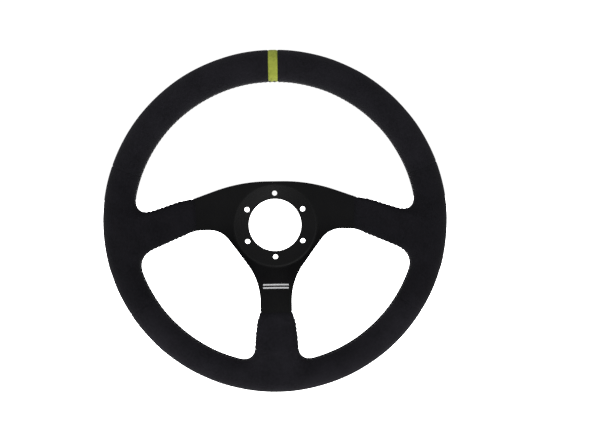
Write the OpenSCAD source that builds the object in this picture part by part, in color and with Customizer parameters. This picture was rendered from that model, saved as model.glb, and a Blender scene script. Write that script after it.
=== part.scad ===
// Three-spoke competition steering wheel with a suede grip.
// A dished aluminium spoke plate is riveted to a steel rim tube, foam is moulded round
// the tube and the spoke ends, and stitched suede panels cover the foam.
// X is to the driver's right, Z is up and the wheel faces the driver along -Y.
// The origin is the centre of the hub's rear mounting face.

/* [Rim] */
// Outside diameter of the wheel over the grip
wheel_d = 350; // [346:1:354]
// Diameter of the finished round grip
grip_d = 29.5; // [28:0.5:30]
// Thickness of the suede hide
hide_t = 1.2; // [1:0.1:1.4]
// Outside diameter of the steel rim tube
tube_d = 12; // [11:0.5:13]
// Wall thickness of the steel rim tube
tube_wall = 1.5; // [1:0.25:2]
// Width of the centre marker between its straight edges
marker_w = 9; // [8:0.5:14]
// Diameter of the seam thread
thread_d = 1.2; // [0.8:0.1:1.4]

/* [Spoke plate] */
// Thickness of the aluminium plate
plate_t = 4; // [3:0.5:4]
// Distance from the hub's front face forward to the middle plane of the rim
dish = 27; // [20:1:30]
// Radius of the two press bends in each spoke
bend_r = 14; // [10:1:16]
// Height of the arched top edge above the hub's centre
arch_h = 48.2; // [46:0.2:49]
// Half of the width of the lower spoke at its waist
waist = 17.1; // [15:0.1:17.5]

/* [Hub] */
// Diameter of the open centre
hub_bore_d = 57.5; // [50:0.5:58]
// Diameter of the bolt circle
bolt_pcd = 70; // [70:1:74]
// Number of bolt holes
bolt_count = 6; // [3:3:6]
// Diameter of each bolt hole
bolt_hole_d = 5.5; // [5:0.25:6.5]

/* [Rivets and lugs] */
// Diameter of a rivet's shank
rivet_d = 4.8; // [4:0.2:5]
// Diameter of a rivet's head
rivet_head_d = 9; // [8:0.5:10]
// Thickness of the steel lugs on the rim tube
lug_t = 3; // [2:0.5:3.5]
// Width of each lug
lug_w = 26; // [22:1:28]

/* [Hidden] */
$fn = 96;

grip_r = grip_d / 2;
foam_r = grip_r - hide_t;
rim_r = wheel_d / 2 - grip_r;          // radius of the rim's centre line
rim_in = rim_r - grip_r;               // inner edge of the grip
rim_z = plate_t + dish;                // height of the rim's middle plane over the mounting face
tube_r = tube_d / 2;

// The plate is flat at the hub, slopes forward between two bends and is flat again at the rim.
bend_in = 46;
bend_out = 128;
plate_end = rim_r - tube_r - 2.5;
slope = atan((rim_z - plate_t / 2) / (bend_out - bend_in));

// Each spoke cover starts at this distance from the hub's centre, out along its spoke.
side_cover_x = 83;
lower_cover_y = -92.5;
spoke_droop = 3.7;                     // the side spokes meet the rim this many degrees below level
spoke_angles = [-spoke_droop, 180 + spoke_droop, -90];   // right, left, lower

// A cover's half depth where it starts, part of the way out and at the rim, and the first two radii.
cover_t = [4.6, 6.5, 9.5];
cover_r = [78, 118];

// Panel joints round the rim, in degrees anticlockwise from the driver's right.
marker_span = 5;                       // the marker lies well within this of the top
upper_joint = 22;
lower_joint = -30;

// Corners between the spoke covers' edges and the rim, in the same degrees.
side_top = 4.9;
side_bottom = -10.8;
lower_corner = -80.4;
root_span = 8.5;                       // each cover's root runs this far round the rim past its corner
seam_upper = [side_top + root_span + 0.2, 180 - side_top - root_span - 0.2];
seam_lower = [lower_corner + root_span + 0.2, side_bottom - root_span - 0.2];

root = 12;                             // depth to which a spoke cover's root reaches into the rim
root_out = 2;                          // depth at which its edge runs into the rim
rivet_r_at = rim_r - 20;               // distance of the rivets from the hub's axis
rivet_pitch = 13;
rivet_head_h = 2;
rivet_bevel = 0.8;
lug_reach = 8;                         // a lug reaches this far inward past its rivets
lug_overlap = 4;                       // and this far past the tube's centre line
fit_gap = 0.05;
tongue_step = 1.6;                     // the lower spoke narrows by this much under its cover

// Printed mark: two plain stripes across the lower spoke.
stripe_w = 28;
stripe_h = 1.5;
stripe_pitch = 3.2;
stripe_y = -66;
stripe_t = 0.15;

vent_d = 3;                            // the rim tube's vent, behind the marker

// Unit vector along v.
function unit(v) = v / norm(v);

// Points of the arc that rounds the corner a-b-c with radius r.
function corner(a, b, c, r, steps = 10) =
    let (u = unit(a - b), v = unit(c - b), half = acos(u * v) / 2)
    let (centre = b + unit(u + v) * r / sin(half), turn = 180 - 2 * half)
    let (s = b + u * r / tan(half) - centre, e = b + v * r / tan(half) - centre)
    [for (t = [0:1 / steps:1]) centre + (sin((1 - t) * turn) * s + sin(t * turn) * e) / sin(turn)];

// Turns vertices [x, y, corner radius] into the points of a rounded outline.
function rounded(v) =
    let (n = len(v), p = [for (q = v) [q[0], q[1]]])
    [for (i = [0:n - 1]) each v[i][2] > 0
        ? corner(p[(i + n - 1) % n], p[i], p[(i + 1) % n], v[i][2])
        : [p[i]]];

// The right half of an outline, from the top to the bottom, closed by its mirror image.
function mirrored(v) =
    concat(v, [for (i = [len(v) - 1:-1:0]) if (v[i][0] > 0) [-v[i][0], v[i][1], v[i][2]]]);

// Height of the plate's middle surface at a radius on the slope.
function slope_z(r) = plate_t / 2 + (r - bend_in) * tan(slope);

// Stands a shape drawn with Z towards the driver upright.
module upright() {
    rotate([90, 0, 0]) children();
}

// Half of the plate's outline: arch, side spoke, hub flank and lower spoke.
plate_half = [
    [37, arch_h - 0.3, 165],                      // arch
    [150, arch_h - 41.2, 0],                      // side spoke's top edge at the rim
    [150, -27.3, 0],                              // side spoke's lower edge at the rim
    [92, -3.4, 60],
    [59, -3.4, 25],                               // armpit beside the hub
    [waist, -61.7, 65],                           // hub flank runs into the lower spoke
    [waist, lower_cover_y + 2, 3],
    [waist - tongue_step, lower_cover_y - 2, 3],
    [waist - tongue_step, -plate_end - 5, 0]
];

module plate_outline() {
    difference() {
        intersection() {
            polygon(rounded(mirrored(plate_half)));
            circle(r = plate_end);
        }
        circle(d = hub_bore_d);
        for (i = [0:bolt_count - 1])
            rotate(90 + i * 360 / bolt_count) translate([bolt_pcd / 2, 0]) circle(d = bolt_hole_d);
    }
}

// Section of the dished sheet between offsets lo and hi from its middle surface.
module dish_section(lo, hi, r_end) {
    t = tan(slope / 2);
    z0 = plate_t / 2;
    polygon(rounded([
        [0, z0 + hi, 0],
        [bend_in - hi * t, z0 + hi, bend_r - hi],
        [bend_out - hi * t, rim_z + hi, bend_r + hi],
        [r_end, rim_z + hi, 0],
        [r_end, rim_z + lo, 0],
        [bend_out - lo * t, rim_z + lo, bend_r + lo],
        [bend_in - lo * t, z0 + lo, bend_r - lo],
        [0, z0 + lo, 0]
    ]));
}

module dished_sheet(lo, hi) {
    rotate_extrude() dish_section(lo, hi, rim_r);
}

module rivet_places(a) {
    for (s = [-1, 1])
        rotate(a) translate([rivet_r_at, s * rivet_pitch / 2, rim_z]) children();
}

module rivet_holes() {
    for (a = spoke_angles)
        rivet_places(a) cylinder(h = grip_d, d = rivet_d + 2 * fit_gap, center = true);
}

module plate_solid() {
    intersection() {
        linear_extrude(rim_z + plate_t) plate_outline();
        dished_sheet(-plate_t / 2, plate_t / 2);
    }
}

module spoke_plate() {
    color("#1b1b1c") upright() difference() {
        plate_solid();
        rivet_holes();
    }
}

module spoke_mark() {
    color("silver") upright() intersection() {
        for (s = [-1, 1])
            translate([-stripe_w / 2, stripe_y + s * stripe_pitch / 2 - stripe_h / 2, 0])
                cube([stripe_w, stripe_h, rim_z]);
        dished_sheet(plate_t / 2, plate_t / 2 + stripe_t);
    }
}

// Ring of round section about the wheel's axis, from angle a0 to angle a1.
module ring(r, a0 = 0, a1 = 360, at = rim_r) {
    rotate(a0) rotate_extrude(angle = a1 - a0) translate([at, rim_z]) circle(r = r);
}

// The tube is rolled from steel and vented behind the marker.
module rim_tube() {
    color("#8a8d90") upright() difference() {
        ring(tube_r);
        ring(tube_r - tube_wall);
        translate([0, rim_r, rim_z - tube_r]) cylinder(h = tube_r, d = vent_d);
    }
}

// Flat tab welded to the tube behind the end of a spoke.
module lug_blank(a) {
    back = rim_z - plate_t / 2 - lug_t;
    rotate(a) translate([rivet_r_at - lug_reach, -lug_w / 2, back])
        cube([rim_r - rivet_r_at + lug_reach - lug_overlap, lug_w, lug_t]);
}

module lug(a) {
    color("#75787b") upright() difference() {
        lug_blank(a);
        ring(tube_r);
        rivet_holes();
    }
}

// Rivet set flat against the plate in front and the lug behind.
module rivet() {
    front = plate_t / 2;
    back = -plate_t / 2 - lug_t;
    shank = rivet_d / 2;
    head = rivet_head_d / 2;
    rotate_extrude() polygon([
        [0, back - rivet_head_h],
        [head - rivet_bevel, back - rivet_head_h],
        [head, back - rivet_head_h + rivet_bevel],
        [head, back],
        [shank, back],
        [shank, front],
        [head, front],
        [head, front + rivet_head_h - rivet_bevel],
        [head - rivet_bevel, front + rivet_head_h],
        [0, front + rivet_head_h]
    ]);
}

module rivets(a) {
    color("#b9bbbe") upright() rivet_places(a) rivet();
}

// Point on the rim's inner edge, or a little outside it.
function rim_point(a, out = 0) = (rim_in + out) * [cos(a), sin(a)];

// Outline of the cover on the right spoke, drawn in by inset, with its root inside the rim.
function side_cover(inset) = [
    [side_cover_x + inset, 31.4 - inset, 5],
    [99, 28 - inset, 30],
    concat(rim_point(side_top) - [0, inset], 12 + inset),
    concat(rim_point(side_top + root_span, root_out), 0),
    concat(rim_point(side_top + root_span, root), 0),
    concat(rim_point(side_bottom - root_span, root), 0),
    concat(rim_point(side_bottom - root_span, root_out), 0),
    concat(rim_point(side_bottom) + [0, inset], 17 + inset),
    [side_cover_x + inset, -3.9 + inset, 6]
];

// Half of the outline of the cover on the lower spoke.
function lower_cover_half(inset) = [
    [waist + 0.9 - inset, lower_cover_y - inset, 3],
    [waist + 3.5 - inset, -103, 12],
    [21.8 - inset, -116, 60],
    concat(rim_point(lower_corner) - [inset, 0], 12.5 + inset),
    concat(rim_point(lower_corner + root_span, root_out), 0),
    concat(rim_point(lower_corner + root_span, root), 0)
];

// Section of a spoke cover: thin where it starts and deeper at the rim.
module cover_section(inset) {
    inner = [for (i = [0, 1]) [cover_r[i], slope_z(cover_r[i])]];
    outer = [[rim_in, rim_z], [rim_r - tube_r, rim_z]];
    half = [0, cover_t[2] - inset];
    polygon([
        for (i = [0, 1]) inner[i] + [0, cover_t[i] - inset],
        for (i = [0, 1]) outer[i] + half,
        for (i = [1, 0]) outer[i] - half,
        for (i = [1, 0]) inner[i] - [0, cover_t[i] - inset]
    ]);
}

module spoke_cover(which, inset) {
    intersection() {
        linear_extrude(rim_z + grip_r) {
            if (which == 0) polygon(rounded(side_cover(inset)));
            if (which == 1) mirror([1, 0]) polygon(rounded(side_cover(inset)));
            if (which == 2) polygon(rounded(mirrored(lower_cover_half(inset))));
        }
        rotate_extrude() cover_section(inset);
    }
}

module grip_foam() {
    color("#3b3a38") upright() difference() {
        union() {
            ring(foam_r);
            for (i = [0:2]) spoke_cover(i, hide_t);
        }
        plate_solid();
        ring(tube_r);
        for (a = spoke_angles) {
            lug_blank(a);
            rivet_places(a) rivet();
        }
    }
}

// Round channel along the inner edge of the rim, where the hide's edges meet.
module seam(r, a0, a1) {
    ring(r, a0, a1, rim_in);
}

module seam_channels() {
    r = thread_d / 2 + fit_gap;
    seam(r, seam_upper[0], seam_upper[1]);
    seam(r, seam_lower[0], seam_lower[1]);
    seam(r, 180 - seam_lower[1], 180 - seam_lower[0]);
}

// Everything between the marker's two straight edges.
module marker_slab() {
    translate([-marker_w / 2, 0, 0]) cube([marker_w, wheel_d, rim_z + grip_r]);
}

// Suede that wraps a stretch of the rim.
module rim_hide(a0, a1) {
    difference() {
        ring(grip_r, a0, a1);
        ring(foam_r);
        seam_channels();
    }
}

// Suede that wraps a stretch of the rim and the end of a spoke.
module spoke_hide(a0, a1, which) {
    difference() {
        union() {
            ring(grip_r, a0, a1);
            spoke_cover(which, 0);
        }
        ring(foam_r);
        spoke_cover(which, hide_t);
        plate_solid();
        seam_channels();
    }
}

module black_suede() {
    color("#242329") upright() children();
}

module hide_upper_left() {
    black_suede() difference() {
        rim_hide(90, 180 - upper_joint);
        marker_slab();
    }
}

module hide_upper_right() {
    black_suede() difference() {
        rim_hide(upper_joint, 90);
        marker_slab();
    }
}

module hide_side_left() {
    black_suede() spoke_hide(180 - upper_joint, 180 - lower_joint, 1);
}

module hide_side_right() {
    black_suede() spoke_hide(lower_joint, upper_joint, 0);
}

module hide_bottom() {
    black_suede() spoke_hide(-180 - lower_joint, lower_joint, 2);
}

module marker_band() {
    color("#b4c41e") upright() intersection() {
        rim_hide(90 - marker_span, 90 + marker_span);
        marker_slab();
    }
}

module thread(a0, a1) {
    color("#101012") upright() seam(thread_d / 2, a0, a1);
}

spoke_plate();
spoke_mark();
rim_tube();
lug(spoke_angles[1]);  // lug_left
lug(spoke_angles[0]);  // lug_right
lug(spoke_angles[2]);  // lug_lower
rivets(spoke_angles[1]);  // rivets_left
rivets(spoke_angles[0]);  // rivets_right
rivets(spoke_angles[2]);  // rivets_lower
grip_foam();
hide_upper_left();
hide_upper_right();
hide_side_left();
hide_side_right();
hide_bottom();
marker_band();
thread(seam_upper[0], seam_upper[1]);  // thread_upper
thread(180 - seam_lower[1], 180 - seam_lower[0]);  // thread_lower_left
thread(seam_lower[0], seam_lower[1]);  // thread_lower_right
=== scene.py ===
import bpy
import bmesh
import math
import numpy as np
from mathutils import Matrix, Vector


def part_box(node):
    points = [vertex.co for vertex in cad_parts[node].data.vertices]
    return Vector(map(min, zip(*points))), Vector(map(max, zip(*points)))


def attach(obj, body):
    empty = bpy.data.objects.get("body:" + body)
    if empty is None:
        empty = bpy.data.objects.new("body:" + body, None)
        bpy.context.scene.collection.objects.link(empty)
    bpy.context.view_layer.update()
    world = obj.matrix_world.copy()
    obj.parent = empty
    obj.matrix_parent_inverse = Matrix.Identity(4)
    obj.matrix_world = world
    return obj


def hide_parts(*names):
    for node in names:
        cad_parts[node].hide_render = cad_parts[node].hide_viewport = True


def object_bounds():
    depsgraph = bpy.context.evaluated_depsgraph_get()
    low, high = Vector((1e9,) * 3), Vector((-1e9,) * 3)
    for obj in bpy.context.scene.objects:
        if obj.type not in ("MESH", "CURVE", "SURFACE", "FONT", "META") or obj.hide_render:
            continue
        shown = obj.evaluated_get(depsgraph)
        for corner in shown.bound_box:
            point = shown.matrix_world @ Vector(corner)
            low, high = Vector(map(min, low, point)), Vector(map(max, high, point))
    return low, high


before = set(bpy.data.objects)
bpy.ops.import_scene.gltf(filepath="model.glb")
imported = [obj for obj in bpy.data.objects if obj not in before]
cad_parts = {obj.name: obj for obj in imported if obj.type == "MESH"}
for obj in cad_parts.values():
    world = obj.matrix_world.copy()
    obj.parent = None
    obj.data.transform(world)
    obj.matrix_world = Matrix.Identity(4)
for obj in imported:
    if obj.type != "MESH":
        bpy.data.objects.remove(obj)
CAD_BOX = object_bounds()

# ---------------------------------------------------------------- sizes
# Lengths are in millimetres until a mesh is made. X is to the driver's right, Z is up, and the driver is
# on the -Y side. "Height" is the distance towards the driver from the hub's rear face, so height = -y.
MM = 0.001
TUBE_LOW, TUBE_HIGH = (np.array(c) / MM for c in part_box("rim_tube"))
HIDE_LOW, HIDE_HIGH = (np.array(c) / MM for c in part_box("hide_upper_left"))
MARK_LOW, MARK_HIGH = (np.array(c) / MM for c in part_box("marker_band"))
GRIP_R = (HIDE_HIGH[1] - HIDE_LOW[1]) / 2              # radius of the grip's round section
RIM_H = -(HIDE_HIGH[1] + HIDE_LOW[1]) / 2              # height of the rim's middle plane
RIM_R = TUBE_HIGH[0] - (TUBE_HIGH[1] - TUBE_LOW[1]) / 2   # radius of the rim's centre line
RIM_IN = RIM_R - GRIP_R                                # inner edge of the grip
TUBE_R = (TUBE_HIGH[1] - TUBE_LOW[1]) / 2
PLATE_T = 4.0
BEND_IN, BEND_OUT = 46.0, 128.0                        # radii of the plate's two press bends
BEND_HALF = 2.4                                        # half of the width of each bend
SLOPE = (RIM_H - PLATE_T / 2) / (BEND_OUT - BEND_IN)
HIDE_T = 1.2
FAR = 60.0                                             # stands for any distance well outside a cover
NEARBY = 26.0                                          # distance within which a cover affects the surface
SIDE_START, LOWER_START = 83.0, -92.5                  # where the spoke covers begin

# The panels of hide round the rim. A joint is an outward normal and an offset along it, in the wheel's plane.
MARKER_HALF = (MARK_HIGH[0] - MARK_LOW[0]) / 2
UPPER_JOINT, LOWER_JOINT = 22.0, -30.0                 # degrees anticlockwise from the driver's right


def radial_joint(degrees, side):
    """A joint square across the rim."""
    a = math.radians(degrees)
    return np.array((-math.sin(a), 0, math.cos(a))) * side, 0.0


def marker_joint(side, owner):
    """One of the marker's two straight edges, for the marker (owner 1) or the hide beside it (owner -1)."""
    return np.array((float(side * owner), 0, 0)), MARKER_HALF * owner


# For each panel its two joints, its cut length along the rim, and the length and girth of its spoke wrap.
TURN_IN = 0.6                                          # the marker's edges turn down this far into its seams
MARKER_RUN = 2 * (MARKER_HALF + TURN_IN)
UPPER_RUN = math.radians(90 - UPPER_JOINT) * RIM_R - MARKER_HALF
SIDE_RUN = math.radians(UPPER_JOINT - LOWER_JOINT) * RIM_R
BOTTOM_RUN = math.radians(180 + 2 * LOWER_JOINT) * RIM_R
NO_WRAP, SIDE_WRAP, LOWER_WRAP = (0.0, 0.0), (RIM_IN - SIDE_START, 105.0), (RIM_IN + LOWER_START, 112.0)
PANELS = {
    "hide_upper_right": (radial_joint(UPPER_JOINT, -1), marker_joint(1, -1), UPPER_RUN, NO_WRAP),
    "marker_band": (marker_joint(1, 1), marker_joint(-1, 1), MARKER_RUN, NO_WRAP),
    "hide_upper_left": (marker_joint(-1, -1), radial_joint(180 - UPPER_JOINT, 1), UPPER_RUN, NO_WRAP),
    "hide_side_left": (
        radial_joint(180 - UPPER_JOINT, -1), radial_joint(180 - LOWER_JOINT, 1), SIDE_RUN, SIDE_WRAP),
    "hide_bottom": (
        radial_joint(180 - LOWER_JOINT, -1), radial_joint(360 + LOWER_JOINT, 1), BOTTOM_RUN, LOWER_WRAP),
    "hide_side_right": (radial_joint(LOWER_JOINT, -1), radial_joint(UPPER_JOINT, 1), SIDE_RUN, SIDE_WRAP),
}
COVER_R = (78.0, 118.0, RIM_IN, RIM_R)                 # radii at which a cover's half depth is given
COVER_T = (4.7, 6.6, 9.5, 9.5)
COVER_ROUND = 4.0                                      # rounding of a cover's edges
COVER_CROWN, CROWN_REACH = 0.9, 7.0                    # its faces stand proud this much, from this far in
SIDE_BLEND, LOWER_BLEND = (19.5, 21.5), 17.0           # blends into the rim: under and over a side, lower
SIDE_BLEND_Z = (-24.0, 20.0)                           # heights of those two corners of a side spoke
FACE_SHARE = 0.45                                      # part of that blend on the front and back faces
FACE_FROM = (5.0, 12.0)                                # off the rim's middle plane, where the faces begin
UNEVEN = 0.07                                          # height of the hide's ups and downs


# ---------------------------------------------------------------- the grip's shape
def ramp(u):
    """max(u, 0) with its corner rounded over the width of a press bend."""
    return np.where(np.abs(u) < BEND_HALF, (u + BEND_HALF) ** 2 / (4 * BEND_HALF), np.maximum(u, 0))


def mid_height(r):
    """Height of the spoke plate's middle surface at radius r."""
    return PLATE_T / 2 + SLOPE * (ramp(r - BEND_IN) - ramp(r - BEND_OUT))


def tilt_cosine(r):
    """Cosine of the plate's slope at radius r."""
    bend = 2 * BEND_HALF
    on_slope = np.clip((r - BEND_IN) / bend + 0.5, 0, 1) * np.clip((BEND_OUT - r) / bend + 0.5, 0, 1)
    return 1 / np.sqrt(1 + (SLOPE * on_slope) ** 2)


def rounded(corners, steps=10):
    """Outline points of a polygon whose corners (x, z, radius) are rounded."""
    points = []
    for i, (x, z, radius) in enumerate(corners):
        b = np.array((x, z), float)
        a = np.array(corners[i - 1][:2], float)
        c = np.array(corners[(i + 1) % len(corners)][:2], float)
        if radius == 0:
            points.append(b)
            continue
        u = (a - b) / np.linalg.norm(a - b)
        v = (c - b) / np.linalg.norm(c - b)
        half = math.acos(u @ v) / 2
        turn = math.pi - 2 * half
        centre = b + (u + v) / np.linalg.norm(u + v) * radius / math.sin(half)
        s = b + u * radius / math.tan(half) - centre
        e = b + v * radius / math.tan(half) - centre
        for k in range(steps + 1):
            t = k / steps
            points.append(centre + (math.sin((1 - t) * turn) * s + math.sin(t * turn) * e) / math.sin(turn))
    return np.array(points)


COVER_ROOT = RIM_R - 4                                 # the covers' outlines end inside the rim
TOP_FALL, BOTTOM_FALL = -0.337, -0.412                 # slopes of the right cover's two edges
RIGHT_COVER = rounded([
    (SIDE_START, 31.4, 5),
    (99.0, 28.0, 30),
    (COVER_ROOT, 28.0 + TOP_FALL * (COVER_ROOT - 99), 0),
    (COVER_ROOT, -4.7 + BOTTOM_FALL * (COVER_ROOT - 88), 0),
    (88.0, -4.7, 10),
    (SIDE_START, -4.1, 4),
])
HALF_LOWER = [
    (17.6, LOWER_START, 3),
    (20.6, -103.0, 12),
    (22.2, -116.0, 60),
    (24.6, -COVER_ROOT, 0),
]
LOWER_COVER = rounded(HALF_LOWER + [(-x, z, r) for x, z, r in reversed(HALF_LOWER)])
COVERS = [RIGHT_COVER, RIGHT_COVER * (-1, 1), LOWER_COVER]


def blend_width(cover, height, z):
    """How widely a cover melts into the rim: broadly in the corners of the openings, closely on the faces."""
    corner = LOWER_BLEND if cover is LOWER_COVER else np.interp(z, SIDE_BLEND_Z, SIDE_BLEND)
    return corner * np.interp(np.abs(height - RIM_H), FACE_FROM, (1.0, FACE_SHARE))


def outline_distance(outline, x, z):
    """Signed distance from plan positions to an outline, negative inside, and FAR well away from it."""
    x, z = np.broadcast_arrays(x, z)
    distance = np.full(x.shape, FAR)
    low, high = outline.min(0) - NEARBY, outline.max(0) + NEARBY
    close = (x > low[0]) & (x < high[0]) & (z > low[1]) & (z < high[1])
    p = np.stack([x[close], z[close]], 1)
    nearest = np.full(len(p), FAR)
    inside = np.zeros(len(p), bool)
    for a, b in zip(outline, np.roll(outline, -1, 0)):
        edge = b - a
        t = np.clip((p - a) @ edge / (edge @ edge), 0, 1)
        nearest = np.minimum(nearest, np.hypot(*(p - a - t[:, None] * edge).T))
        crosses = (a[1] > p[:, 1]) != (b[1] > p[:, 1])
        if a[1] != b[1]:
            inside ^= crosses & (p[:, 0] < a[0] + (p[:, 1] - a[1]) * edge[0] / edge[1])
    distance[close] = np.where(inside, -nearest, nearest)
    return distance


def smooth_min(a, b, k):
    """The smaller of a and b, rounded where they differ by less than k."""
    h = np.maximum(k - np.abs(a - b), 0) / k
    return np.minimum(a, b) - h * h * k / 4


def unevenness(x, y, z):
    """The slight ups and downs of a hand-wrapped hide over moulded foam."""
    wave = np.sin(x / 13 + 1.3) * np.sin(z / 17 + y / 11) + 0.6 * np.sin(x / 7.1 - z / 9.3 + 2.1)
    return UNEVEN * wave


def grip_field(x, y, z):
    """Distance to the finished grip's surface, negative inside it. The arguments broadcast, as on a grid."""
    r = np.hypot(x, z)
    rim = np.hypot(r - RIM_R, -y - RIM_H) - GRIP_R
    middle, cosine = mid_height(r), tilt_cosine(r)
    depth = np.abs(-y - middle) * cosine
    half = np.interp(r, COVER_R, COVER_T) * cosine
    field = rim
    for outline in COVERS:
        plan = outline_distance(outline, x, z)
        crown = COVER_CROWN * (1 - np.exp(np.minimum(plan, 0) / CROWN_REACH))
        side = plan + COVER_ROUND
        face = depth - half - crown + COVER_ROUND
        corner = np.hypot(np.maximum(side, 0), np.maximum(face, 0))
        cover = corner + np.minimum(np.maximum(side, face), 0) - COVER_ROUND
        field = smooth_min(field, cover, blend_width(outline, -y, z))
    return field + unevenness(x, y, z)


TETRAHEDRON = np.array([(1, 1, 1), (1, -1, -1), (-1, 1, -1), (-1, -1, 1)]) / math.sqrt(3)


def distance_and_normal(p, reach=0.05):
    """The field and its outward unit normal at points p, from four samples round each."""
    samples = np.stack([grip_field(*(p + corner * reach).T) for corner in TETRAHEDRON], 1)
    normal = samples @ TETRAHEDRON
    return samples.mean(1), normal / np.linalg.norm(normal, axis=1, keepdims=True)


def to_surface(p, level=0.0, rounds=2):
    """Moves points onto the field's level."""
    for _ in range(rounds):
        distance, normal = distance_and_normal(p)
        p = p - normal * (distance - level)[:, None]
    return p


def surface_net(low, high, step, level=0.0):
    """Quads over the grip's surface in a box, with one vertex in each grid cell that the surface crosses."""
    axes = [np.arange(a, b + step, step) for a, b in zip(low, high)]
    field = grip_field(*np.meshgrid(*axes, indexing="ij", sparse=True)) - level
    cells = tuple(n - 1 for n in field.shape)
    total, count = np.zeros((*cells, 3)), np.zeros(cells)
    quads = []
    inside = field < 0
    for axis in range(3):
        near = [slice(None)] * 3
        far = [slice(None)] * 3
        near[axis], far[axis] = slice(None, -1), slice(1, None)
        near, far = tuple(near), tuple(far)
        crossed = inside[near] != inside[far]
        t = np.where(crossed, field[near] / np.where(crossed, field[near] - field[far], 1), 0)
        others = [a for a in range(3) if a != axis]
        for i in (0, 1):
            for j in (0, 1):
                cut = [slice(None)] * 3
                cut[others[0]] = slice(i, cells[others[0]] + i)
                cut[others[1]] = slice(j, cells[others[1]] + j)
                hit = crossed[tuple(cut)]
                count += hit
                total[..., axis] += np.where(hit, t[tuple(cut)], 0)
                total[..., others[0]] += hit * i
                total[..., others[1]] += hit * j
        index = np.argwhere(crossed)
        index = index[(index[:, others[0]] > 0) & (index[:, others[1]] > 0)]
        index = index[(index[:, others[0]] < cells[others[0]]) & (index[:, others[1]] < cells[others[1]])]
        corners = []
        for i, j in ((1, 1), (0, 1), (0, 0), (1, 0)):
            cell = index.copy()
            cell[:, others[0]] -= i
            cell[:, others[1]] -= j
            corners.append(np.ravel_multi_index(cell.T, cells))
        quad = np.stack(corners, 1)
        flip = inside[tuple(index.T)] == (axis == 1)
        quad[flip] = quad[flip][:, ::-1]
        quads.append(quad)
    quads = np.concatenate(quads)
    used, faces = np.unique(quads, return_inverse=True)
    faces = faces.reshape(quads.shape)
    cell = np.stack(np.unravel_index(used, cells), 1)
    offset = total.reshape(-1, 3)[used] / count.ravel()[used][:, None]
    points = np.array([a[0] for a in axes]) + (cell + offset) * step
    for _ in range(2):
        points = to_surface(relaxed(points, faces), level, 1)
    return to_surface(points, level, 1), faces


def relaxed(points, faces):
    """Each point moved halfway to the mean of its neighbours."""
    total, count = np.zeros_like(points), np.zeros(len(points))
    for k in range(4):
        a, b = faces[:, k], faces[:, (k + 1) % 4]
        np.add.at(total, a, points[b])
        np.add.at(total, b, points[a])
        np.add.at(count, a, 1)
        np.add.at(count, b, 1)
    return points * 0.5 + total / count[:, None] * 0.5


# ---------------------------------------------------------------- sewn panels
NET_STEP = 1.0                                         # grid step of the visible panels
FOAM_STEP = 2.0
FOAM_GAP = 0.1                                         # the foam stays this far inside the hides
BOX_MARGIN = 3.0
LOOP_REACH = 6.0                                       # faces this near a joint may be cut for its loops
LOOP_WELD = 0.04                                       # points this near each other after the cuts are one
SHARP_ANGLE = math.radians(50)
SEAM_DEPTH, SEAM_WIDTH = 0.5, 0.7                      # creases where two panels are sewn together
LACED_DEPTH, LACED_WIDTH = 0.6, 1.1                    # groove along the rim's inner edge, under the lacing
CREASE_LOOPS = (0.0, 0.3, 0.65, 1.1, 1.8)              # distances from a seam that get their own edge loop


def new_object(name, mesh, material):
    """A shown piece of the wheel with one material. The wheel is one body."""
    piece = bpy.data.objects.new(name, mesh)
    bpy.context.scene.collection.objects.link(piece)
    mesh.materials.append(material)
    mesh.polygons.foreach_set("use_smooth", [True] * len(mesh.polygons))
    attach(piece, "root")
    return piece


def new_mesh(name, points, faces):
    """A mesh from points in millimetres."""
    mesh = bpy.data.meshes.new(name)
    mesh.from_pydata((np.asarray(points) * MM).tolist(), [], [list(map(int, f)) for f in faces])
    mesh.validate()
    mesh.update()
    return mesh


def cut(bm, faces, place, normal, drop=False):
    """Cuts faces of bm along a plane, and with drop deletes what is beyond it."""
    edges = {e for f in faces for e in f.edges}
    verts = {v for e in edges for v in e.verts}
    bmesh.ops.bisect_plane(
        bm, geom=[*verts, *edges, *faces], dist=1e-4, plane_co=place, plane_no=normal, clear_outer=drop)


def panel_skin(name):
    """Points and faces of a panel's outer surface, with edge loops beside its joints and its laced seam."""
    low, high = (np.array(c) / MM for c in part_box(name))
    points, quads = surface_net(low - BOX_MARGIN, high + BOX_MARGIN, NET_STEP)
    bm = bmesh.new()
    for p in points:
        bm.verts.new(p)
    bm.verts.ensure_lookup_table()
    for q in quads:
        bm.faces.new([bm.verts[i] for i in q])
    for normal, offset in PANELS[name][:2]:
        across = Vector(normal)
        for distance in CREASE_LOOPS:
            near = [f for f in bm.faces if f.calc_center_median() @ across > offset - LOOP_REACH]
            cut(bm, near, across * (offset - distance), across, drop=distance == 0)
    for v in bm.verts:
        v.co.y += mid_height(math.hypot(v.co.x, v.co.z))
    for distance in CREASE_LOOPS:
        for side in {distance, -distance}:
            near = [
                f for f in bm.faces
                if abs(f.calc_center_median().y - side) < LOOP_REACH / 2
                and math.hypot(*f.calc_center_median().xz) < RIM_R]
            cut(bm, near, (0, side, 0), (0, 1, 0))
    for v in bm.verts:
        v.co.y -= mid_height(math.hypot(v.co.x, v.co.z))
    bmesh.ops.remove_doubles(bm, verts=bm.verts, dist=LOOP_WELD)
    bm.verts.index_update()
    points = np.array([v.co for v in bm.verts])
    faces = [[v.index for v in f.verts] for f in bm.faces]
    bm.free()
    return points, faces


def crease_depth(points, name):
    """How far the outer surface is pulled in at each point by the seams."""
    depth = np.zeros(len(points))
    for normal, offset in PANELS[name][:2]:
        away = np.abs(points @ normal - offset)
        depth = np.maximum(depth, SEAM_DEPTH * np.exp(-(away / SEAM_WIDTH) ** 1.5))
    r = np.hypot(points[:, 0], points[:, 2])
    away = np.abs(points[:, 1] + mid_height(r))
    laced = LACED_DEPTH * np.exp(-(away / LACED_WIDTH) ** 1.5)
    return np.maximum(depth, np.where(r < RIM_R, laced, 0))


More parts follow.
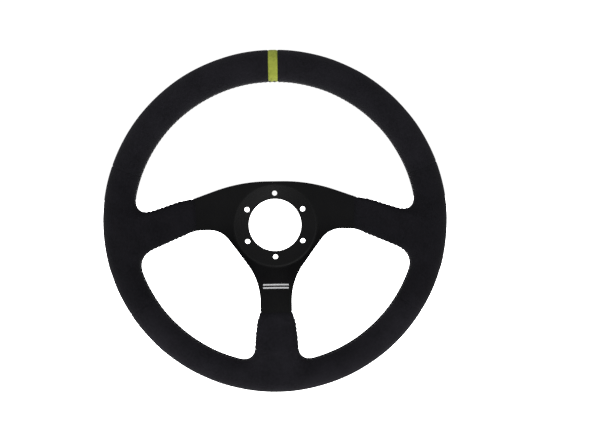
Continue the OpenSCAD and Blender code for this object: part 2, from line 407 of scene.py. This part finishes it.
def hollow(piece, cutters):
    """Cuts the shapes of other objects out of a piece, and leaves the corners of the cuts sharp."""
    for cutter in cutters:
        modifier = piece.modifiers.new("hollow", "BOOLEAN")
        modifier.object = cutter
        modifier.operation = "DIFFERENCE"
        modifier.solver = "MANIFOLD"
    bpy.context.view_layer.update()
    made = piece.evaluated_get(bpy.context.evaluated_depsgraph_get())
    mesh = bpy.data.meshes.new_from_object(made)
    piece.modifiers.clear()
    piece.data = mesh
    mesh.set_sharp_from_angle(angle=SHARP_ANGLE)


def cutter(name, mesh):
    """A passing object that hollow() uses, with its points welded so that it is closed."""
    bm = bmesh.new()
    bm.from_mesh(mesh)
    bmesh.ops.remove_doubles(bm, verts=bm.verts, dist=1e-7)
    welded = bpy.data.meshes.new(name)
    bm.to_mesh(welded)
    bm.free()
    made = bpy.data.objects.new(name, welded)
    bpy.context.scene.collection.objects.link(made)
    return made


def hide_panel(name, material, plate):
    """A sewn panel: a closed shell of suede with creased seams, slotted where the spoke plate enters it."""
    points, faces = panel_skin(name)
    points = to_surface(points, rounds=1)
    normal = distance_and_normal(points)[1]
    outer = points - normal * crease_depth(points, name)[:, None]
    inner = points - normal * HIDE_T
    count = len(points)
    shell = list(faces) + [[i + count for i in reversed(f)] for f in faces]
    edges = {(a, b) for f in faces for a, b in zip(f, f[1:] + f[:1])}
    shell += [[b, a, a + count, b + count] for a, b in sorted(edges) if (b, a) not in edges]
    mesh = new_mesh(name, np.concatenate([outer, inner]), shell)
    piece = new_object("suede_" + name.removeprefix("hide_"), mesh, material)
    if PANELS[name][3] != NO_WRAP:
        hollow(piece, [plate])
    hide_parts(name)


def tube_cutter():
    """A solid ring that fills the rim tube."""
    turns, sides = 256, 24
    points = []
    for i in range(turns):
        a = 2 * math.pi * i / turns
        for j in range(sides):
            b = 2 * math.pi * j / sides
            r = RIM_R + TUBE_R * math.cos(b)
            points.append((r * math.cos(a), -RIM_H + TUBE_R * math.sin(b), r * math.sin(a)))
    faces = []
    for i in range(turns):
        for j in range(sides):
            corners = ((i, j), (i, j + 1), (i + 1, j + 1), (i + 1, j))
            faces.append([(k % turns) * sides + m % sides for k, m in corners])
    return cutter("tube_cutter", new_mesh("tube_cutter", points, faces))


def foam_core(material, plate):
    """The moulding under the hides, hollow where the tube, the lugs, the rivets and the plate run in it."""
    low, high = (np.array(c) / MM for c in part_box("grip_foam"))
    points, quads = surface_net(low - BOX_MARGIN, high + BOX_MARGIN, FOAM_STEP, -HIDE_T - FOAM_GAP)
    piece = new_object("foam_core", new_mesh("foam_core", points, quads), material)
    inserts = [f"{kind}_{place}" for kind in ("lug", "rivets") for place in ("left", "right", "lower")]
    cutters = [tube_cutter(), *(cutter(n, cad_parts[n].data) for n in inserts)]
    hollow(piece, [plate, *cutters])
    for passing in cutters:
        bpy.data.objects.remove(passing)
    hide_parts("grip_foam")


# ---------------------------------------------------------------- lacing
STITCH_PITCH = 4.6
STITCH_REACH = 2.7                                     # from the seam to each stitch hole
STITCH_LEAN = 0.66                                     # how far a stitch leans along the seam, in pitches
STITCH_LIFT = 0.1                                      # how far a stitch's middle stands off the hide
HOLE_SINK, SEAM_SINK = 1.1, 0.9                        # how far its two ends dive into the hide
THREAD_R = 0.38
THREAD_TURN = 2.6                                      # length of one twist of the two plies
PLY_DEPTH = 0.16                                       # how deep the plies mark the thread, in radii
STITCH_RINGS, STITCH_SIDES = 12, 8
PATH_STEP = 0.5                                        # spacing of the points along a seam
RAYS, RAY_STEP = 2400, 1.0                             # rays that find the edge of an opening
HALVINGS = 14                                          # and how often the last step is halved


def seam_path(centre, first, last, mirror=1):
    """Even points where the grip's middle surface meets an opening, found by rays from its centre."""
    angles = np.radians(np.linspace(first, last, RAYS))
    across = np.stack([np.cos(angles), np.sin(angles)], 1)

    def at(t):
        x, z = (centre + across * t[:, None]).T
        return np.stack([x, -mid_height(np.hypot(x, z)), z], 1)

    near = np.zeros(len(angles))
    for t in np.arange(RAY_STEP, RIM_R, RAY_STEP):
        clear = near >= t - 1.5 * RAY_STEP
        free = grip_field(*at(np.full(len(angles), t)).T) > 0
        near = np.where(clear & free, t, near)
    far = near + 1.5 * RAY_STEP
    for _ in range(HALVINGS):
        half = (near + far) / 2
        free = grip_field(*at(half).T) > 0
        near, far = np.where(free, half, near), np.where(free, far, half)
    path = at(near) * (mirror, 1, 1)
    run = np.concatenate([[0], np.cumsum(np.linalg.norm(np.diff(path, axis=0), axis=1))])
    even = np.arange(0, run[-1], PATH_STEP)
    return np.stack([np.interp(even, run, path[:, k]) for k in range(3)], 1)


def lacing(name, path, material):
    """Slanting stitches from holes on both sides of a seam down into it, as in a laced wheel cover."""
    run = np.arange(len(path)) * PATH_STEP
    starts = np.arange(STITCH_PITCH / 2, run[-1] - STITCH_PITCH, STITCH_PITCH)
    rings, sides = STITCH_RINGS, STITCH_SIDES
    t = np.linspace(0, 1, rings)
    legs = []
    for side in (-1, 1):
        along = starts[:, None] + t * STITCH_PITCH * STITCH_LEAN
        p = np.stack([np.interp(along, run, path[:, k]) for k in range(3)], 2)
        p[..., 1] += side * STITCH_REACH * (1 - t) ** 1.1
        legs.append(p)
    centre = np.concatenate(legs)
    shape = centre.shape
    flat = to_surface(centre.reshape(-1, 3))
    normal = distance_and_normal(flat)[1].reshape(shape)
    flat = flat.reshape(shape)
    # The high powers keep the thread on the hide until close to its ends, where it dives in.
    lift = STITCH_LIFT * np.sin(np.pi * t) - HOLE_SINK * (1 - t) ** 6 - SEAM_SINK * t ** 7
    centre = flat + normal * lift[:, None]
    tangent = np.gradient(centre, axis=1)
    tangent /= np.linalg.norm(tangent, axis=2, keepdims=True)
    binormal = np.cross(tangent, normal)
    binormal /= np.linalg.norm(binormal, axis=2, keepdims=True)
    normal = np.cross(binormal, tangent)
    turn = np.arange(sides) * 2 * math.pi / sides
    length = t * math.hypot(STITCH_REACH, STITCH_PITCH * STITCH_LEAN)
    ply = 1 + PLY_DEPTH * np.cos(2 * (turn[None, :] - length[:, None] / THREAD_TURN * 2 * math.pi))
    outward = np.cos(turn)[:, None] * normal[:, :, None] + np.sin(turn)[:, None] * binormal[:, :, None]
    points = (centre[:, :, None] + THREAD_R * ply[..., None] * outward).reshape(-1, 3)
    faces = []
    for leg in range(len(centre)):
        base = leg * rings * sides
        for i in range(rings - 1):
            for j in range(sides):
                a, b = base + i * sides + j, base + i * sides + (j + 1) % sides
                faces.append([a, b, b + sides, a + sides])
        faces.append([base + j for j in reversed(range(sides))])
        faces.append([base + (rings - 1) * sides + j for j in range(sides)])
    piece = new_object(name.replace("thread", "lacing"), new_mesh(name, points, faces), material)
    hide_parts(name)


# ---------------------------------------------------------------- materials
PAINTED_TONE_UPPER, PAINTED_TONE_SIDE, PAINTED_TONE_BOTTOM = 0.85, 0.64, 1.04     # painted shade: how much the suede's colour is scaled round the rim, darkest at the sides
PAINTED_TONE_CHANGE = 7.0                                       # degrees either side of a joint in which the painted shade changes
EDGE_R = 0.4                                           # radius to which tumbling rounds the plate's edges
BLACK_SHEEN, YELLOW_SHEEN = [0.86, 0.84, 0.95, 1], [0.9, 0.95, 0.6, 1]    # tints of the nap's sheen


def material(name):
    """An empty node material and a function that adds a node with settings."""
    made = bpy.data.materials.new(name)
    made.use_nodes = True
    tree = made.node_tree
    tree.nodes.clear()

    def add(kind, inputs=(), **settings):
        node = tree.nodes.new(kind)
        for key, value in settings.items():
            setattr(node, key, value)
        for key, value in dict(inputs).items():
            if isinstance(value, bpy.types.NodeSocket):
                tree.links.new(value, node.inputs[key])
            else:
                node.inputs[key].default_value = value
        return node

    return made, add


def noise(add, place, scale, detail=2.0, rough=0.5):
    """A noise value at a place, at so many cells per metre."""
    made = add("ShaderNodeTexNoise", {"Vector": place, "Scale": scale, "Detail": detail, "Roughness": rough})
    return made.outputs["Fac"]


def between(add, fac, low, high, start=0.0, end=1.0):
    """fac in start..end spread over low..high."""
    made = add("ShaderNodeMapRange", {
        "Value": fac, "From Min": start, "From Max": end, "To Min": low, "To Max": high})
    return made.outputs["Result"]


def mixed(add, fac, a, b):
    """A colour from a to b."""
    made = add("ShaderNodeMix", data_type="RGBA")
    tree = made.id_data
    for socket, value in ((made.inputs[0], fac), (made.inputs[6], a), (made.inputs[7], b)):
        if isinstance(value, bpy.types.NodeSocket):
            tree.links.new(value, socket)
        else:
            socket.default_value = value
    return made.outputs[2]


def shade(add, inputs):
    """The material's shader, linked to its output."""
    shader = add("ShaderNodeBsdfPrincipled", inputs)
    add("ShaderNodeOutputMaterial", {"Surface": shader.outputs["BSDF"]})


def painted_shade_round_rim(add, place):
    """Painted shade round the rim: the colour is scaled darker at the sides and lighter at the top and
    bottom, as light falls there. It changes gradually at a joint.
    """
    axes = add("ShaderNodeSeparateXYZ", {"Vector": place}).outputs
    across = add("ShaderNodeMath", {0: axes["X"]}, operation="ABSOLUTE").outputs[0]
    angle = add("ShaderNodeMath", {0: axes["Z"], 1: across}, operation="ARCTAN2").outputs[0]

    def changed(joint, below, above):
        start, end = math.radians(joint - PAINTED_TONE_CHANGE), math.radians(joint + PAINTED_TONE_CHANGE)
        return between(add, angle, below, above, start, end)

    upper = changed(UPPER_JOINT, PAINTED_TONE_SIDE, PAINTED_TONE_UPPER)
    lower = changed(LOWER_JOINT, PAINTED_TONE_BOTTOM - PAINTED_TONE_SIDE, 0.0)
    return add("ShaderNodeMath", {0: upper, 1: lower}, operation="ADD").outputs[0]


def suede(name, base, light, sheen, sheen_tint):
    """Brushed nap: short fibres, clumps, and patches where the nap lies the other way."""
    made, add = material(name)
    place = add("ShaderNodeTexCoord").outputs["Object"]
    painted_tone = painted_shade_round_rim(add, place)
    patches = noise(add, place, 48, 3.0, 0.55)
    clumps = noise(add, place, 420, 3.0, 0.6)
    fibres = noise(add, place, 2600, 2.0, 0.7)
    tone = mixed(add, between(add, patches, 0.0, 1.0, 0.35, 0.68), base, light)
    tone = mixed(add, between(add, clumps, 0.0, 0.55, 0.35, 0.7), tone, [c * 1.35 for c in light[:3]] + [1])
    tone = mixed(add, between(add, fibres, 0.0, 0.5, 0.45, 0.75), tone, [c * 0.5 for c in base[:3]] + [1])
    # Painted shade: the colour and the sheen weight are scaled lighter or darker round the rim.
    tone = add("ShaderNodeVectorMath", {"Vector": tone, "Scale": painted_tone}, operation="SCALE").outputs[0]
    sheen = add("ShaderNodeMath", {0: painted_tone, 1: sheen}, operation="MULTIPLY").outputs[0]
    height = add("ShaderNodeMath", {0: clumps, 1: 0.6}, operation="MULTIPLY").outputs[0]
    height = add("ShaderNodeMath", {0: fibres, 1: height}, operation="ADD").outputs[0]
    bump = add("ShaderNodeBump", {"Height": height, "Strength": 0.55, "Distance": 0.0003}).outputs["Normal"]
    shade(add, {
        "Base Color": tone, "Roughness": 0.95, "Normal": bump, "Specular IOR Level": 0.02,
        "Sheen Weight": sheen, "Sheen Roughness": 0.45, "Sheen Tint": sheen_tint})
    return made


def anodised():
    """Satin black anodised sheet with a fine blasted grain and faint handling marks."""
    made, add = material("plate_anodised")
    place = add("ShaderNodeTexCoord").outputs["Object"]
    grain = noise(add, place, 3200, 2.0, 0.6)
    haze = noise(add, place, 38, 4.0, 0.6)
    wear = between(add, haze, 0, 1, 0.3, 0.7)
    tone = mixed(add, wear, [0.0008, 0.0008, 0.0009, 1], [0.0013, 0.0013, 0.0014, 1])
    edge = add("ShaderNodeBevel", {"Radius": EDGE_R * MM}, samples=6).outputs["Normal"]
    bump = add("ShaderNodeBump", {"Height": grain, "Strength": 0.25, "Distance": 0.00006, "Normal": edge})
    bump = bump.outputs["Normal"]
    shade(add, {
        "Base Color": tone, "Roughness": between(add, haze, 0.22, 0.3, 0.3, 0.7),
        "Normal": bump, "Specular IOR Level": 0.014})
    return made


def ink():
    """Screen-printed grey, a little uneven."""
    made, add = material("print_grey")
    place = add("ShaderNodeTexCoord").outputs["Object"]
    wear = noise(add, place, 2200, 3.0, 0.7)
    tone = mixed(add, between(add, wear, 0, 1, 0.35, 0.7), [0.138, 0.138, 0.141, 1], [0.203, 0.203, 0.207, 1])
    rough = between(add, wear, 0.45, 0.7, 0.3, 0.7)
    shade(add, {"Base Color": tone, "Roughness": rough, "Specular IOR Level": 0.3})
    return made


def metal(name, dark, light, rough):
    """Bare metal, mottled between two tones."""
    made, add = material(name)
    place = add("ShaderNodeTexCoord").outputs["Object"]
    mottle = noise(add, place, 300, 4.0, 0.6)
    tone = mixed(add, mottle, dark, light)
    bump = add("ShaderNodeBump", {"Height": mottle, "Strength": 0.2, "Distance": 0.0001}).outputs["Normal"]
    shade(add, {
        "Base Color": tone, "Metallic": 1.0, "Roughness": between(add, mottle, rough - 0.08, rough + 0.1),
        "Normal": bump})
    return made


def foam():
    """The skin of moulded polyurethane foam."""
    made, add = material("foam")
    place = add("ShaderNodeTexCoord").outputs["Object"]
    cells = noise(add, place, 900, 3.0, 0.6)
    tone = mixed(add, cells, [0.022, 0.021, 0.02, 1], [0.05, 0.048, 0.046, 1])
    bump = add("ShaderNodeBump", {"Height": cells, "Strength": 0.3, "Distance": 0.0002}).outputs["Normal"]
    shade(add, {"Base Color": tone, "Roughness": 0.8, "Normal": bump})
    return made


def thread():
    """Waxed, twisted polyester."""
    made, add = material("thread_black")
    place = add("ShaderNodeTexCoord").outputs["Object"]
    strands = noise(add, place, 2600, 2.0, 0.6)
    ply = between(add, strands, 0, 1, 0.3, 0.7)
    tone = mixed(add, ply, [0.004, 0.004, 0.0045, 1], [0.012, 0.012, 0.0135, 1])
    bump = add("ShaderNodeBump", {"Height": strands, "Strength": 0.3, "Distance": 0.0001}).outputs["Normal"]
    shade(add, {
        "Base Color": tone, "Roughness": 0.55, "Normal": bump, "Specular IOR Level": 0.12,
        "Sheen Weight": 0.05, "Sheen Roughness": 0.4})
    return made


BLACK_SUEDE = suede("suede_black", [0.0025, 0.0024, 0.003, 1], [0.004, 0.0038, 0.0048, 1], 0.012, BLACK_SHEEN)
# The yellow is raised by as much as the painted shade at the top of the rim takes off.
YELLOW_SUEDE = suede("suede_yellow", [0.072, 0.0825, 0.0124, 1], [0.107, 0.12, 0.02, 1], 0.035, YELLOW_SHEEN)
STEEL = metal("steel", [0.32, 0.33, 0.34, 1], [0.5, 0.5, 0.52, 1], 0.4)
RIVET = metal("rivet_aluminium", [0.62, 0.62, 0.63, 1], [0.78, 0.78, 0.79, 1], 0.3)
CAD_LOOKS = {"spoke_plate": anodised(), "spoke_mark": ink(), "rim_tube": STEEL}
CAD_LOOKS.update({f"lug_{place}": STEEL for place in ("left", "right", "lower")})
CAD_LOOKS.update({f"rivets_{place}": RIVET for place in ("left", "right", "lower")})
for node_name, look in CAD_LOOKS.items():
    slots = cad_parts[node_name].data.materials
    for i in range(len(slots)):
        slots[i] = look

plate_cutter = cutter("plate_cutter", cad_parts["spoke_plate"].data)
for panel in PANELS:
    hide_panel(panel, YELLOW_SUEDE if panel == "marker_band" else BLACK_SUEDE, plate_cutter)
foam_core(foam(), plate_cutter)
bpy.data.objects.remove(plate_cutter)

# Each opening's seam runs from one spoke's cover along the rim to the next one's.
THREAD = thread()
UPPER_VIEW = (0, 80), -28.6, 208.6                     # a point in the opening, and its seam's two ends
LOWER_VIEW = (85, -70), 84, -158                       # in degrees anticlockwise round that point
lacing("thread_upper", seam_path(*UPPER_VIEW), THREAD)
lacing("thread_lower_right", seam_path(*LOWER_VIEW), THREAD)
lacing("thread_lower_left", seam_path(*LOWER_VIEW, mirror=-1), THREAD)

# ---------------------------------------------------------------- stage, light and camera
FLOOR_GLOW = 3.0                                       # the floor is lit from within, as a light table is
FLOOR_HALF = 6.0                                       # metres
FLOOR_GAP = 0.0006                                     # below the wheel, in metres
WORLD_LIGHT = 1.04


def pale_floor(height):
    """A plain floor that glows evenly."""
    made, add = material("pale_floor")
    place = add("ShaderNodeTexCoord").outputs["Object"]
    tone = mixed(add, noise(add, place, 3.0), [0.86, 0.86, 0.86, 1], [0.9, 0.9, 0.9, 1])
    shade(add, {
        "Base Color": tone, "Roughness": 0.9, "Specular IOR Level": 0.1,
        "Emission Color": [1, 1, 1, 1], "Emission Strength": FLOOR_GLOW})
    mesh = bpy.data.meshes.new("floor")
    corners = [(FLOOR_HALF * x, FLOOR_HALF * y, height) for x, y in ((-1, -1), (1, -1), (1, 1), (-1, 1))]
    mesh.from_pydata(corners, [], [(0, 1, 2, 3)])
    mesh.materials.append(made)
    floor = bpy.data.objects.new("floor", mesh)
    bpy.context.scene.collection.objects.link(floor)


def softbox(name, place, aim, size, power):
    """A soft rectangular lamp. Places and sizes are in metres, and power is in watts."""
    lamp = bpy.data.lights.new(name, "AREA")
    lamp.shape = "RECTANGLE"
    lamp.size, lamp.size_y = size
    lamp.energy = power
    box = bpy.data.objects.new(name, lamp)
    bpy.context.scene.collection.objects.link(box)
    box.location = place
    box.rotation_euler = (Vector(aim) - Vector(place)).to_track_quat("-Z", "Y").to_euler()
    box.visible_camera = False


pale_floor(CAD_BOX[0].z - FLOOR_GAP)
world = bpy.data.worlds.new("studio")
world.use_nodes = True
world.node_tree.nodes["Background"].inputs["Color"].default_value = (1, 1, 1, 1)
world.node_tree.nodes["Background"].inputs["Strength"].default_value = WORLD_LIGHT
scene = bpy.context.scene
scene.world = world
scene.view_settings.view_transform = "Standard"
AIM = Vector((0, -RIM_H * MM, 0))
softbox("front", (-0.08, -1.5, 0.08), AIM, (0.25, 0.3), 8.0)
softbox("front_high", (0, -1.5, 0.47), AIM, (0.3, 0.3), 2.3)
softbox("overhead", (-0.35, -0.35, 1.3), AIM, (1.6, 1.2), 24)

# The camera stands close in front, a little above the wheel's axis, and leans with the picture.
CAMERA_AWAY, CAMERA_UP, CAMERA_ROLL = 0.419, math.radians(6.2), math.radians(0.83)
SENSOR_W, LENS = 36.0, 24.51                           # millimetres
back = Vector((0, -math.cos(CAMERA_UP), math.sin(CAMERA_UP)))
right = Vector((1, 0, 0))
up = back.cross(right)
lens_x = right * math.cos(CAMERA_ROLL) - up * math.sin(CAMERA_ROLL)
lens_y = right * math.sin(CAMERA_ROLL) + up * math.cos(CAMERA_ROLL)
camera_data = bpy.data.cameras.new("camera")
camera_data.sensor_width = SENSOR_W
camera_data.lens = LENS
camera_data.shift_x = 0.0415
camera_data.shift_y = 0.0109
camera_data.clip_start = 0.01
camera = bpy.data.objects.new("camera", camera_data)
turned = Matrix((lens_x, lens_y, back)).transposed().to_4x4()
camera.matrix_world = Matrix.Translation(AIM + back * CAMERA_AWAY) @ turned
scene.collection.objects.link(camera)
scene.camera = camera
